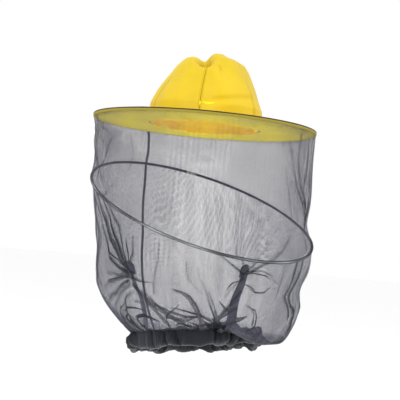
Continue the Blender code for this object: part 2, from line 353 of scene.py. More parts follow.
def flat_brim_cloth(name, colour, roughness, painted_glow=0.0):
    """Taut brim cloth: weave in the plane, and rows of stitching round the edge and the head opening."""
    g = Graph(name)
    place, xyz, radius, turn = g.round_place()
    weave = g.add(thread_wave(g, xyz[0], 0.0007), thread_wave(g, xyz[1], 0.0007))
    slow = g.noise(place, 14.0, 3.0)
    fine = g.noise(place, 700.0, 2.0)
    # lighter towards the brim's outer edge
    lighter_to_edge = g.ramp(radius, 0.0, 0.5, BRIM_RADIUS - 0.030, BRIM_RADIUS)
    base = g.mix(g.ramp(slow, 0.0, 1.0), tone(colour, 0.93), tone(colour, 1.05))
    base = g.mix(lighter_to_edge, base, tone(colour, 1.12))
    height = g.add(g.times(weave, 0.3), g.times(slow, 0.8))
    for row in BRIM_STITCHES:
        stitch = dashes(g, radius, turn, row, 0.0034 / row, 0.0005)
        base = g.mix(stitch, base, tone(colour, 0.6))
        height = g.add(height, stitch)
    # painted light: the cloth glows in its own colour, standing in for light through thin cloth
    g.set("Emission Color", base)
    g.set("Emission Strength", painted_glow)
    g.set("Base Color", base)
    g.set("Roughness", g.ramp(fine, roughness - 0.05, roughness + 0.1))
    g.set("Specular IOR Level", 0.05)
    g.bump(height, 0.3, 0.0004)
    return g.material


def bound_edge(name, cloth_colour, outer_face_colour, edge_colour):
    """The binding: the hat's own cloth, with the dark thread that holds the net sewn along its outer edge."""
    g = Graph(name)
    place, xyz, radius, turn = g.round_place()
    twill = thread_wave(g, g.add(radius, g.times(turn, BRIM_RADIUS)), 0.0009)
    slow = g.noise(place, 40.0, 3.0)
    outer = g.ramp(radius, 0, 1, BRIM_RADIUS - 0.0012, BRIM_RADIUS - 0.0006)
    above = g.ramp(g.add(xyz[2], g.times(slow, 0.0006)), 0, 1, BRIM_FACE - 0.0022, BRIM_FACE - 0.0014)
    edge = g.times(outer, above)
    base = g.mix(slow, tone(cloth_colour, 0.85), tone(cloth_colour, 1.0))
    base = g.mix(g.times(thread_wave(g, turn, 0.011), 0.35), base, tone(cloth_colour, 0.7))
    # darker brown on the binding's outer face
    base = g.mix(outer, base, tone(outer_face_colour))
    base = g.mix(edge, base, tone(edge_colour))
    g.set("Base Color", base)
    g.set("Roughness", g.ramp(slow, 0.6, 0.8))
    g.set("Specular IOR Level", 0.08)
    g.bump(g.add(twill, slow), 0.4, 0.0004)
    return g.material


YELLOW = (0.73, 0.52, 0.006)
# painted light: a lighter copy of the hat's yellow for the cloth under the brim and round its edge, which
# face away from the lamps
LIT_UNDER_YELLOW = (0.98, 0.80, 0.030)
ORANGE = (1.0, 0.66, 0.015)
NET_COLOUR = (0.090, 0.089, 0.130)
NAVY = (0.020, 0.0235, 0.032)
# painted shade: the colour that gathered and folded net is darkened towards
FOLD_SHADE_COLOUR = (0.022, 0.025, 0.034)

crown_cloth = cloth("crown_cloth", YELLOW, 0.0006, 0.44, stitched=(0.0026,), variation=0.08)
brim_top_cloth = flat_brim_cloth("brim_top_cloth", YELLOW, 0.50)
# painted light: the brim's underside glows a little, standing in for light through its cloth
brim_under_cloth = flat_brim_cloth("brim_under_cloth", LIT_UNDER_YELLOW, 0.62, painted_glow=0.16)
# painted light: the sweatband glows, standing in for light through its thin cloth
sweat_cloth = cloth(
    "sweat_cloth", ORANGE, 0.0009, 0.8, stitched=(0.006, 0.024), rows=True, variation=0.2, painted_glow=0.42
)
binding_cloth = bound_edge("binding_cloth", LIT_UNDER_YELLOW, (0.34, 0.27, 0.045), (0.035, 0.028, 0.026))
core_cloth = cloth("core_cloth", (0.75, 0.74, 0.70), 0.0010, 0.9)
tape_cloth = cloth("tape_cloth", (0.050, 0.050, 0.058), 0.0008, 0.75, stitched=(0.0016,))
# painted shade: depth=True darkens the hem's pleat valleys, its inner side and its bundled rolls
hem_cloth = cloth("hem_cloth", NAVY, 0.0007, 0.66, sheen=0.10, stitched=(0.0030,), variation=0.25, depth=True)
elastic_cloth = cloth(
    "elastic_cloth", (0.036, 0.038, 0.055), 0.0011, 0.70, sheen=0.12, stitched=(0.0022,), variation=0.3
)
net_cloth = netting("net_cloth", NET_COLOUR, 0.0019, 0.00024)
# painted shade: a darker copy of the net, for its folded wisps
shaded_pleat_net = netting("shaded_pleat_net", (0.050, 0.050, 0.066), 0.0013, 0.00042)
tunnel_cloth = netting("tunnel_cloth", (0.035, 0.035, 0.042), 0.0015, 0.00050)
spring_steel = steel("spring_steel", (0.84, 0.90, 0.98), 0.42)
ferrule_metal = steel("ferrule_metal", (0.40, 0.40, 0.40), 0.45)

# -------- mesh helpers


def unit(vectors):
    return vectors / (np.linalg.norm(vectors, axis=-1, keepdims=True) + 1e-12)


def new_piece(name, points, faces, surface, uv, **values):
    """A mesh piece from points and quads, with flat coordinates and named values for each point."""
    mesh = bpy.data.meshes.new(name)
    mesh.from_pydata(points.reshape(-1, 3).tolist(), [], faces.tolist())
    layer = mesh.uv_layers.new(name="flat")
    corner = np.zeros(len(mesh.loops), np.int32)
    mesh.loops.foreach_get("vertex_index", corner)
    layer.data.foreach_set("uv", uv[corner].astype(np.float32).ravel())
    for key, value in values.items():
        mesh.attributes.new(key, "FLOAT", "POINT").data.foreach_set("value", value.astype(np.float32))
    mesh.materials.append(surface)
    mesh.shade_smooth()
    piece = bpy.data.objects.new(name, mesh)
    bpy.context.scene.collection.objects.link(piece)
    return piece


def grid_faces(rows, columns, wrap=False):
    """Quads over a grid of rows by columns; wrap joins the last column to the first."""
    r, c = np.meshgrid(np.arange(rows - 1), np.arange(columns if wrap else columns - 1), indexing="ij")
    right = (c + 1) % columns
    here, below = r * columns, (r + 1) * columns
    return np.stack([here + c, below + c, below + right, here + right], -1).reshape(-1, 4)


def sleeve(name, surface_of, azimuths, shares, surface, flat, gather=None):
    """A sleeve of cloth, from a function of azimuth and share. It is cut at its last column."""
    az, sh = np.meshgrid(np.append(azimuths, azimuths[0] + TAU), shares)
    points = surface_of(az.ravel(), sh.ravel())
    width, length = flat
    start = azimuths[0]
    uv = np.stack([(az.ravel() - start) / TAU * width, sh.ravel() * length], -1)
    drawn = np.ones(len(points)) if gather is None else gather(az.ravel(), sh.ravel())
    faces = grid_faces(len(shares), len(azimuths) + 1)
    return new_piece(name, points, faces, surface, uv, gather=drawn)


def turn_from(azimuth, centre):
    """The turn from a middle azimuth, from minus half a turn to half a turn."""
    return (azimuth - centre + math.pi) % TAU - math.pi


def frame_along(line, azimuth):
    """The sideways and the outward direction, and the run so far, at each point of a line down the net."""
    down = unit(np.gradient(line, axis=0))
    side = unit(np.cross(down, outward(azimuth)))
    run = np.append(0, np.cumsum(np.linalg.norm(np.diff(line, axis=0), axis=1)))
    return side, np.cross(side, down), run


def flat_of(across, down):
    """Flat coordinates for each point of a grid."""
    return np.stack(np.broadcast_arrays(across, down), -1).reshape(-1, 2)


def solidify(piece, thickness, offset=0.0):
    solid = piece.modifiers.new("thickness", "SOLIDIFY")
    solid.thickness = thickness
    solid.offset = offset
    return piece


def on_ring(place, half_width, half_depth, azimuth, lift=0.0, out=0.0):
    """Points of an oval ring laid by a matrix, lifted along its axis and pushed outward."""
    axes = np.array(place.to_3x3())
    local = np.stack([
        np.cos(azimuth) * (half_width + out),
        np.sin(azimuth) * (half_depth + out),
        np.broadcast_to(lift, np.shape(azimuth)),
    ], -1)
    return local @ axes.T + np.array(place.translation)


def outward(azimuth):
    return np.stack([np.cos(azimuth), np.sin(azimuth), np.zeros_like(azimuth)], -1)


def step(value, low, high):
    t = np.clip((value - low) / (high - low), 0, 1)
    return t * t * (3 - 2 * t)


def bell(value, width):
    return np.exp(-(value / width) ** 2)


def ring(count):
    """Azimuths evenly round a ring."""
    return np.linspace(0, TAU, count, endpoint=False)


def waves(azimuth, share, counts, seed, rise=2.5):
    """A sum of sine ripples round the sleeve, each leaning its own way down it. Its size is about 1."""
    draw = np.random.default_rng(seed)
    total = np.zeros_like(azimuth)
    for count in counts:
        lean, phase, size = draw.uniform(-rise, rise), draw.uniform(0, TAU), draw.uniform(0.6, 1.0)
        swell = 1 + 0.6 * np.sin(3 * azimuth + draw.uniform(0, TAU) + 2 * share)
        total += size * swell * np.sin(count * azimuth + lean * TAU * share + phase)
    return total / math.sqrt(len(counts))


# -------- net

# Columns of the net stand closer in front, where the folds are, and meet at the back seam
SEAM_TOP_AZIMUTH = math.radians(124)
SEAM_LEAN = math.radians(7)
NET_START = SEAM_TOP_AZIMUTH + SEAM_LEAN
BACK_STEPS, FRONT_STEPS = (90, 500)
AZIMUTHS = NET_START + np.concatenate([
    np.linspace(0, math.radians(50), BACK_STEPS, endpoint=False),
    np.linspace(math.radians(50), math.radians(235), FRONT_STEPS, endpoint=False),
    np.linspace(math.radians(235), TAU, 2 * BACK_STEPS, endpoint=False),
])

# Folds of the net: each has its strength at its two ends, its width, and its line of azimuth in degrees and
# percent of the way down
UPPER_FOLDS = (
    (0.9, 0.3, 2.2, (188, 20), (209, 35), (218, 47)),
    (0.7, 0.5, 1.8, (186, 58), (208, 69), (216, 84)),
    (0.5, 0.9, 2.0, (219, 30), (215, 46), (212, 62), (207, 87)),
    (0.4, 0.5, 1.6, (233, 24), (236, 42), (235, 57)),
    (0.6, 1.0, 2.2, (202, 10), (201, 52), (192, 94)),
    (0.9, 0.2, 1.6, (218, 100), (221, 90), (228, 72)),
    (1.0, 0.2, 2.0, (196, 2), (207, 18), (222, 30)),
    (0.8, 0.2, 1.7, (212, 2), (210, 20), (206, 34)),
    (0.5, 1.1, 2.4, (316, 12), (321, 28), (327, 46), (337, 64)),
    (0.9, 0.9, 2.0, (325, 5), (325, 23), (329, 39), (338, 62)),
    (0.7, 1.2, 2.4, (334, 6), (336, 30), (334, 46), (342, 75)),
    (0.3, 0.5, 1.6, (316, 32), (320, 50), (323, 65)),
    (0.7, 1.1, 2.2, (345, 15), (342, 40), (346, 70), (343, 95)),
    (1.2, 0.3, 2.2, (309, 100), (316, 93), (324, 80)),
    (0.9, 0.2, 1.8, (301, 100), (305, 94), (308, 86)),
    (0.7, 0.1, 1.6, (292, 100), (290, 90), (290, 80)),
)
LOWER_FOLDS = (
    (1.6, 2.6, 2.4, (208, 0), (213, 6), (218, 14), (227, 28), (234, 39), (239, 43)),
    (1.0, 2.2, 1.8, (217, 0), (227, 14), (234, 28), (239, 42)),
    (1.0, 2.2, 1.8, (222, 0), (233, 12), (237, 30), (240, 42)),
    (0.8, 2.2, 2.2, (205, 2), (211, 18), (219, 29), (224, 42), (233, 46), (239, 46)),
    (0.5, 2.4, 1.9, (242, 15), (243, 28), (240, 42)),
    (2.2, 0.3, 1.8, (239, 50), (226, 59), (208, 70)),
    (2.2, 0.3, 1.8, (239, 54), (226, 68), (198, 82)),
    (2.2, 0.2, 1.6, (240, 50), (246, 51), (253, 50)),
    (1.6, 0.3, 1.8, (239, 58), (224, 74), (204, 88)),
    (1.2, 0.5, 1.8, (239, 64), (225, 80), (210, 91)),
    (1.6, 0.2, 1.6, (240, 46), (232, 52), (216, 55)),
    (0.6, 1.3, 1.5, (256, 10), (256, 27), (254, 43), (253, 60)),
    (0.5, 0.3, 1.4, (262, 2), (265, 10), (268, 16)),
    (0.9, 0.5, 1.4, (269, 20), (270, 36), (274, 45), (277, 51)),
    (0.3, 1.7, 1.6, (274, 26), (278, 43), (282, 68), (287, 87)),
    (1.0, 2.2, 2.0, (264, 53), (270, 54), (274, 64), (276, 77), (276, 100)),
    (1.6, 1.2, 2.0, (241, 57), (247, 65), (251, 77), (252, 90)),
    (1.4, 1.2, 2.0, (242, 57), (250, 65), (255, 77), (261, 87)),
    (1.1, 1.3, 1.8, (252, 71), (259, 77), (267, 81), (274, 81)),
    (1.2, 1.0, 1.8, (251, 82), (261, 86), (274, 80)),
    (0.8, 1.6, 1.6, (260, 73), (268, 74), (276, 77), (283, 84)),
    (1.2, 0.6, 1.8, (239, 72), (248, 71), (257, 74)),
    (0.8, 2.2, 1.6, (294, 0), (295, 6), (297, 14)),
    (1.0, 2.4, 1.8, (302, 0), (300, 7), (297, 14)),
    (1.2, 2.6, 2.2, (309, 0), (304, 7), (298, 17)),
    (1.1, 2.4, 2.0, (282, 0), (287, 6), (292, 13), (296, 18)),
    (2.0, 0.7, 1.5, (297, 32), (300, 34), (304, 41), (309, 41), (313, 33)),
    (2.0, 0.4, 1.8, (296, 24), (290, 41), (287, 55)),
    (1.6, 1.4, 1.8, (295, 41), (291, 56), (288, 74)),
    (0.8, 1.8, 1.6, (280, 47), (284, 69), (289, 91)),
    (1.8, 1.0, 2.0, (287, 87), (290, 65), (294, 52)),
    (1.6, 2.0, 2.6, (336, 4), (333, 20), (329, 42), (334, 61), (345, 82)),
    (1.2, 1.6, 2.2, (330, 4), (328, 26), (326, 47), (334, 72)),
    (1.6, 0.8, 1.6, (307, 78), (304, 65), (300, 59)),
    (2.0, 0.2, 1.6, (298, 15), (305, 12), (311, 18), (316, 29)),
    (0.3, 0.8, 1.8, (319, 2), (318, 31), (318, 53)),
    (0.9, 1.0, 2.4, (352, 2), (349, 30), (350, 60), (356, 90)),
    (0.7, 1.0, 2.2, (186, 6), (190, 30), (194, 55), (202, 85)),
    (1.0, 0.6, 2.0, (200, 0), (203, 20), (208, 45)),
)
FOLD_WIDTH = 0.0012
FOLD_RISE = 0.0013
FOLD_SHADE = 1.3


def fold_field(azimuth, share, folds, length):
    """How strongly the net is doubled at each point by the folds whose lines pass near it."""
    total = np.zeros_like(azimuth)
    x, y = azimuth % TAU * BRIM_RADIUS, share * length
    for first, last, width, *line in folds:
        knots = np.array([(math.radians(a) * BRIM_RADIUS, h / 100 * length) for a, h in line])
        runs = np.linalg.norm(np.diff(knots, axis=0), axis=1)
        passed = np.append(0, np.cumsum(runs)) / runs.sum()
        best = np.zeros_like(total)
        for k in range(len(runs)):
            dx, dy = (knots[k + 1] - knots[k]) / runs[k]
            along = np.clip((x - knots[k, 0]) * dx + (y - knots[k, 1]) * dy, 0, runs[k])
            gap = np.hypot(x - knots[k, 0] - along * dx, y - knots[k, 1] - along * dy)
            t = passed[k] + along / runs.sum()
            strength = first + (last - first) * t
            best = np.maximum(best, strength * bell(gap, width * FOLD_WIDTH))
        total += best
    return total


def upper_net(azimuth, share):
    """The net from the brim's rim to the hoop."""
    top = outward(azimuth) * NET_TOP_RADIUS
    top[:, 2] = NET_TOP_Z
    bottom = on_ring(HOOP_PLACE, HOOP_RADIUS, HOOP_RADIUS, azimuth)
    points = top + (bottom - top) * share[:, None]
    room = np.sin(math.pi * share)
    length = np.abs(bottom[:, 2] - top[:, 2])
    slack = np.clip(1.6 - length / 0.14, 0.3, 1.3)
    side = 0.45 + np.abs(np.cos(azimuth)) ** 3
    front = step(-np.sin(azimuth), -0.1, 0.25)
    fine = waves(azimuth, share, (97, 131, 163, 151), 3, 1.6) * 0.0005 * front
    broad = waves(azimuth, share, (7, 11, 17, 23, 37), 5) * 0.0022 * slack * (0.35 + 0.65 * front)
    pinch = 0.007 * bell(share - 0.80, 0.14) * step(np.cos(azimuth), 0.80, 0.97)
    waist = -0.0045 * room - pinch
    folds = FOLD_RISE * fold_field(azimuth, share, UPPER_FOLDS, UPPER_LENGTH)
    shift = waist + ((fine + broad) * side + folds) * room ** 0.6
    return points + outward(azimuth) * shift[:, None]


def tier_share(azimuth):
    """The share at which the upper net passes the height where its two tiers meet."""
    bottom = on_ring(HOOP_PLACE, HOOP_RADIUS, HOOP_RADIUS, azimuth)[:, 2]
    return (TIER_Z - NET_TOP_Z) / (bottom - NET_TOP_Z)


NET_BULGE = 3.6
RIGHT_BULGE = 2.2
BAG_DROP = 0.031
RIGHT_PINCH = 0.013
LEFT_PINCH = 0.017
STRAP_PULL = 0.004
STRAP_TOPS = {"left": (math.radians(240), 0.47), "right": (math.radians(297), 0.18)}


def lower_net_plain(azimuth, share):
    """The net from the hoop to the hem, without its small folds."""
    top = on_ring(HOOP_PLACE, HOOP_RADIUS, HOOP_RADIUS, azimuth)
    bottom = on_ring(HEM_PLACE, HEM_HALF_WIDTH, HEM_HALF_DEPTH, azimuth, lift=HEM_HEIGHT / 2 - 0.004)
    right, left = step(np.cos(azimuth), 0.3, 0.95), step(-np.cos(azimuth), 0.5, 0.95)
    turn = (share ** (NET_BULGE + RIGHT_BULGE * right))[:, None]
    points = top + (bottom - top) * turn
    points[:, 2] = top[:, 2] + (bottom[:, 2] - top[:, 2]) * share
    bag = np.sin(math.pi * np.clip((share - 0.66) / 0.34, 0, 1) ** 1.7)
    points[:, 2] -= BAG_DROP * bag * step(np.cos(azimuth), 0.25, 0.85)
    shape = -right * RIGHT_PINCH * bell(share - 0.48, 0.20)
    shape -= left * LEFT_PINCH * bell(share - 0.36, 0.24)
    return points + outward(azimuth) * shape[:, None]


def lower_net(azimuth, share):
    points = lower_net_plain(azimuth, share)
    room = np.sin(math.pi * np.clip(share, 0, 1)) ** 0.6
    front = step(-np.sin(azimuth), -0.1, 0.25)
    fine = waves(azimuth, share, (97, 131, 163, 151), 9, 1.8) * 0.0006 * front
    broad = waves(azimuth, share, (6, 9, 13, 19, 31), 11) * 0.0030
    gathers = waves(azimuth, share, (61, 74, 88), 13, 0.3) * 0.0020 * step(share, 0.70, 0.97)
    shift = (fine + broad) * room + gathers
    shift += FOLD_RISE * fold_field(azimuth, share, LOWER_FOLDS, LOWER_LENGTH) * room
    for centre, height in STRAP_TOPS.values():
        turn = turn_from(azimuth, centre)
        shift = shift - STRAP_PULL * bell(turn, 0.11) * bell(share - height, 0.12)
    return points + outward(azimuth) * shift[:, None]


def lower_gather(azimuth, share):
    sides = 0.45 * step(np.abs(np.cos(azimuth)), 0.62, 0.97)
    drawn = 1 + 0.9 * step(share, 0.80, 1.0) + sides
    drawn += FOLD_SHADE * fold_field(azimuth, share, LOWER_FOLDS, LOWER_LENGTH)
    for centre, height in STRAP_TOPS.values():
        turn = turn_from(azimuth, centre)
        drawn += 1.2 * bell(turn * BRIM_RADIUS, 0.010) * bell((share - height) * LOWER_LENGTH, 0.012)
    drawn += 1.3 * step(share, 0.84, 0.88) * step(np.cos(azimuth), 0.45, 0.60)
    return drawn


def upper_gather(azimuth, share):
    sides = 0.55 * step(np.abs(np.cos(azimuth)), 0.62, 0.97)
    drawn = 1 + 0.5 * step(1 - share, 0.93, 1.0) + sides
    return drawn + FOLD_SHADE * fold_field(azimuth, share, UPPER_FOLDS, UPPER_LENGTH)


def tier_sleeve(name, shares_of, rows):
    """One tier of the upper net: shares_of gives its first and last share at each azimuth."""
    columns = np.append(AZIMUTHS, AZIMUTHS[0] + TAU)
    first, last = shares_of(columns)
    share = first + (last - first) * np.linspace(0, 1, rows)[:, None]
    az = (columns - SEAM_LEAN * (1 - share)).ravel()
    points = upper_net(az, share.ravel())
    uv = np.stack([(az - AZIMUTHS[0]) / TAU * FLAT_ROUND, share.ravel() * UPPER_LENGTH], -1)
    faces = grid_faces(rows, len(columns))
    drawn = upper_gather(az, share.ravel())
    return solidify(new_piece(name, points, faces, net_cloth, uv, gather=drawn), NET_THICKNESS)


net_top = tier_sleeve("veil_net_top", lambda a: (np.zeros_like(a), tier_share(a)), 12)
net_middle = tier_sleeve("veil_net_middle", lambda a: (tier_share(a), np.ones_like(a)), 56)
net_lower = solidify(sleeve(
    "veil_net_lower", lower_net, AZIMUTHS, np.linspace(0, 1, 66), net_cloth,
    (FLAT_ROUND, LOWER_LENGTH), lower_gather
), NET_THICKNESS)

# -------- back seam

SEAM_WIDTH = 0.0050
SEAM_CLOTH = 0.0008


def seam_tape(name, surface_of, path):
    """A narrow tape that follows a path of azimuth and share over the net, just inside it."""
    columns, rows = 5, 40
    t = np.linspace(0, 1, rows)
    az, sh = (np.interp(t, np.linspace(0, 1, len(path)), part) for part in zip(*path))
    centre = surface_of(az, sh)
    side, normal, run = frame_along(centre, az)
    across = np.linspace(-0.5, 0.5, columns)
    crown = (1 - (2 * across) ** 2) * 0.4
    points = (
        centre[:, None] + side[:, None] * across[None, :, None] * SEAM_WIDTH
        - normal[:, None] * (SEAM_CLOTH * (1 + crown[None, :, None]))
    )
    uv = flat_of((across + 0.5) * SEAM_WIDTH, run[:, None])
    return solidify(new_piece(name, points, grid_faces(rows, columns), tape_cloth, uv), SEAM_CLOTH)


seam_tier = float(tier_share(np.array([SEAM_TOP_AZIMUTH + SEAM_LEAN / 2]))[0])


def seam_path(first, last, count, seed=0, lean=0.0, sway=0.0):
    """The seam's line of azimuth and share. It leans round by lean and sways between its ends."""
    draw = np.random.default_rng(seed)
    path = []
    for k in range(count + 1):
        share = first + (last - first) * k / count
        azimuth = NET_START - lean * (1 - share) + draw.uniform(-sway, sway) * math.sin(math.pi * k / count)
        path.append((azimuth, share))
    return path


seam_runs = {
    "back_seam_tape_top": (upper_net, seam_path(0.0, seam_tier, 2, lean=SEAM_LEAN)),
    "back_seam_tape_middle": (upper_net, seam_path(seam_tier, 1.0, 4, lean=SEAM_LEAN)),
    "back_seam_tape_lower": (lower_net, seam_path(0.0, 0.97, 9, seed=3, sway=0.012)),
}
seams = {name: seam_tape(name, net, path) for name, (net, path) in seam_runs.items()}

# -------- hoop


def tunnel_gather(azimuth, turn):
    """The tunnel is dense along its two seams and at the back, and thin over the wire in front."""
    seams = np.abs(np.sin(turn)) ** 6
    bare = step(-np.sin(azimuth), 0.0, 0.4) * (0.75 + 0.25 * np.sin(11 * azimuth) * np.sin(5 * azimuth + 2))
    return 2.7 - 2.6 * bare * (1 - seams)


TUNNEL_RADIUS = 0.0023


def make_tunnel(steps=900, sides=12):
    """The net tunnel round the hoop's wire: a closed ring of tube, faintly puckered."""
    az, turn = np.meshgrid(np.linspace(0, TAU, steps + 1), np.linspace(0, TAU, sides + 1), indexing="ij")
    pucker = np.sin(150 * az) * np.sin(7 * az + 1)
    size = TUNNEL_RADIUS + 0.00035 * pucker + 0.0002 * np.sin(2 * turn + 3 * az)
    out, lift = np.cos(turn) * size, np.sin(turn) * size
    points = on_ring(HOOP_PLACE, HOOP_RADIUS, HOOP_RADIUS, az, lift=lift, out=out)
    uv = flat_of(az * HOOP_RADIUS, turn * 0.0026)
    faces = grid_faces(steps + 1, sides + 1)[:, ::-1]
    return new_piece("hoop_tunnel", points, faces, tunnel_cloth, uv, gather=tunnel_gather(az, turn).ravel())


hoop_tunnel = make_tunnel()

# -------- hem


def pleats(azimuth, least, most, seed):
    """Rounded rolls of cloth with sharp valleys between them, uneven in width, from -1 in a valley to 0."""
    draw = np.random.default_rng(seed)
    edges = [0.0]
    while edges[-1] < TAU - most:
        edges.append(edges[-1] + draw.uniform(least, most))
    edges = np.append(edges, TAU)
    depth = draw.uniform(0.45, 1.0, len(edges) - 1)
    turn = azimuth % TAU
    k = np.clip(np.searchsorted(edges, turn, side="right") - 1, 0, len(depth) - 1)
    within = (turn - edges[k]) / (edges[k + 1] - edges[k])
    return (np.sin(math.pi * within) ** 0.6 - 1) * depth[k]


def between(azimuth, first, last):
    """1 between two azimuths in degrees, fading to 0 over a few degrees outside them."""
    turn = np.degrees(azimuth) % 360
    return step(turn, first - 3, first + 3) * step(-turn, -last - 3, -last + 3)


ARCH = 0.0050
PLEAT_DEPTH = 0.0080


def hem_band(azimuths, sides):
    """The gathered band: a flattened tunnel of cloth drawn into uneven pleats, with a few smooth lengths."""
    az, turn = np.meshgrid(azimuths, np.linspace(-math.pi / 2, 1.5 * math.pi, sides), indexing="ij")
    az, turn = az.ravel(), turn.ravel()
    high, wide = np.sin(turn), np.cos(turn)
    smooth = np.clip(between(az, 205, 222) + between(az, 262, 283) + between(az, 315, 350), 0, 1)
    bundled = np.clip(between(az, 186, 204) + between(az, 287, 311), 0, 1)
    lean = 0.05 * high * np.sin(3 * az + 1) + 0.02 * np.sin(19 * az)
    drawn = (1 - 0.85 * smooth) * (1 + 0.6 * bundled)
    rolls = pleats(az + lean, 0.10, 0.26, 31) + 0.45 * pleats(az - 1.5 * lean, 0.04, 0.10, 32)
    lift = HEM_HEIGHT / 2 * np.sign(high) * np.abs(high) ** 0.55
    edge = waves(az, high, (9, 14, 22), 33, 0.1)
    lift += (0.0020 * edge + 0.0024 * drawn * (rolls + 0.5)) * np.abs(high) * np.sign(high + 0.2)
    lift += 0.0030 * between(az, 186, 232) * (high < 0) * np.abs(high)
    half = 0.0040 + 0.0020 * drawn
    out = half * np.sign(wide) * np.abs(wide) ** 0.8
    out += PLEAT_DEPTH * drawn * (rolls + 0.35) * (0.6 + 0.4 * np.abs(wide))
    out += 0.0040 * bundled * np.cos(high * 2.2) + 0.0022 * np.sin(5 * az + 0.8) * high
    lift += ARCH * between(az, 318, 346) * (1 - 0.6 * (high > 0)) + 0.0018 * np.sin(7 * az + 2)
    low_edge = 0.0022 * np.sin(11 * az + 1.3) * np.sin(2 * az + 0.4) - 0.0030 * between(az, 205, 235)
    lift += low_edge * (high < 0)
    points = on_ring(HEM_PLACE, HEM_HALF_WIDTH, HEM_HALF_DEPTH, az, lift=lift, out=out)
    uv = np.stack([lift + HEM_HEIGHT / 2, az * 0.16], -1)
    # painted shade: "valley" is high in the pleats' valleys, on the band's inner side and in its bundled
    # rolls, where the cloth is darkened
    valley = np.clip(-rolls * drawn * 0.9 + 0.55 * (wide < -0.2) + 0.35 * bundled - 0.1, 0, 1)
    return points, uv, valley


HEM_STEPS = 900
HEM_SIDES = 26
HEM_CLOTH = 0.0006
hem_points, hem_uv, hem_valley_shade = hem_band(ring(HEM_STEPS), HEM_SIDES)
index = np.arange(HEM_STEPS * HEM_SIDES).reshape(HEM_STEPS, HEM_SIDES)
ahead = np.roll(index, -1, 0)
hem_faces = np.stack([index[:, :-1], ahead[:, :-1], ahead[:, 1:], index[:, 1:]], -1).reshape(-1, 4)
hem_casing = new_piece("hem_band", hem_points, hem_faces, hem_cloth, hem_uv, valley=hem_valley_shade)
solidify(hem_casing, HEM_CLOTH)

# -------- wisps of net over the hem

# Each wisp has its width and its stand-off in millimetres, how dense it is, and its line, as for the folds
WISPS = (
    (5.0, 2.0, 1.35, (241, 58), (247, 68), (251, 79), (252, 94)),
    (6.5, 2.5, 1.3, (242, 60), (250, 68), (256, 79), (263, 90)),
    (4.0, 2.0, 1.2, (252, 72), (259, 78), (267, 81), (275, 80)),
    (5.0, 2.5, 1.2, (248, 86), (257, 84), (266, 87), (275, 80)),
    (2.2, 2.5, 2.2, (260, 72), (268, 74), (276, 78), (284, 88)),
    (7.5, 3.0, 1.35, (262, 52), (267, 53), (271, 58), (274, 70), (276, 82), (276, 102)),
    (2.0, 3.0, 2.2, (266, 66), (262, 74), (256, 82), (252, 95)),
    (2.2, 2.5, 2.3, (280, 60), (283, 74), (287, 92)),
    (8.0, 3.0, 1.9, (283, 92), (287, 78), (291, 68), (296, 62)),
    (8.0, 3.0, 1.7, (286, 96), (291, 84), (298, 76), (302, 72)),
    (9.0, 4.0, 2.6, (279, 98), (284, 90), (290, 88), (297, 92)),
    (3.0, 3.0, 1.9, (292, 72), (288, 64), (285, 56)),
    (2.6, 3.0, 1.9, (300, 58), (305, 66), (308, 78), (304, 86)),
    (6.0, 2.5, 1.6, (303, 80), (311, 84), (319, 92), (324, 100)),
    (6.0, 2.5, 2.2, (236, 66), (229, 78), (222, 88), (221, 97)),
    (5.0, 2.5, 2.0, (232, 74), (222, 80), (214, 86), (212, 94)),
    (3.0, 3.5, 2.3, (244, 80), (237, 78), (229, 79), (222, 84)),
    (6.0, 3.5, 2.3, (247, 90), (240, 84), (233, 86), (228, 95)),
    (1.8, 1.5, 2.4, (296, 20), (301, 16), (307, 18), (311, 24)),
    (2.2, 1.5, 2.2, (296, 26), (291, 32), (288, 44)),
    (1.8, 1.5, 2.2, (298, 34), (303, 41), (309, 41), (313, 34)),
    (1.6, 1.5, 2.4, (239, 52), (246, 52), (252, 50)),
    (2.2, 1.5, 2.2, (238, 50), (229, 56), (218, 62)),
    (2.6, 1.2, 2.2, (238, 44), (231, 40), (224, 38), (219, 28)),
    (3.2, 1.2, 2.2, (239, 44), (235, 33), (230, 20), (224, 5)),
    (6.0, 1.4, 1.5, (238, 43), (232, 32), (225, 20), (216, 6)),
    (2.4, 1.2, 2.2, (240, 43), (240, 30), (238, 18)),
    (5.0, 3.0, 2.2, (268, 88), (274, 93), (281, 90), (288, 95)),
    (7.0, 5.0, 2.6, (277, 84), (281, 93), (286, 100)),
    (8.0, 6.0, 2.7, (283, 80), (286, 90), (292, 100)),
    (8.0, 6.5, 2.7, (296, 78), (293, 88), (288, 98)),
    (6.0, 4.0, 2.3, (226, 80), (221, 88), (222, 99)),
    (4.0, 3.0, 2.0, (256, 94), (262, 90), (268, 94), (274, 97)),
)


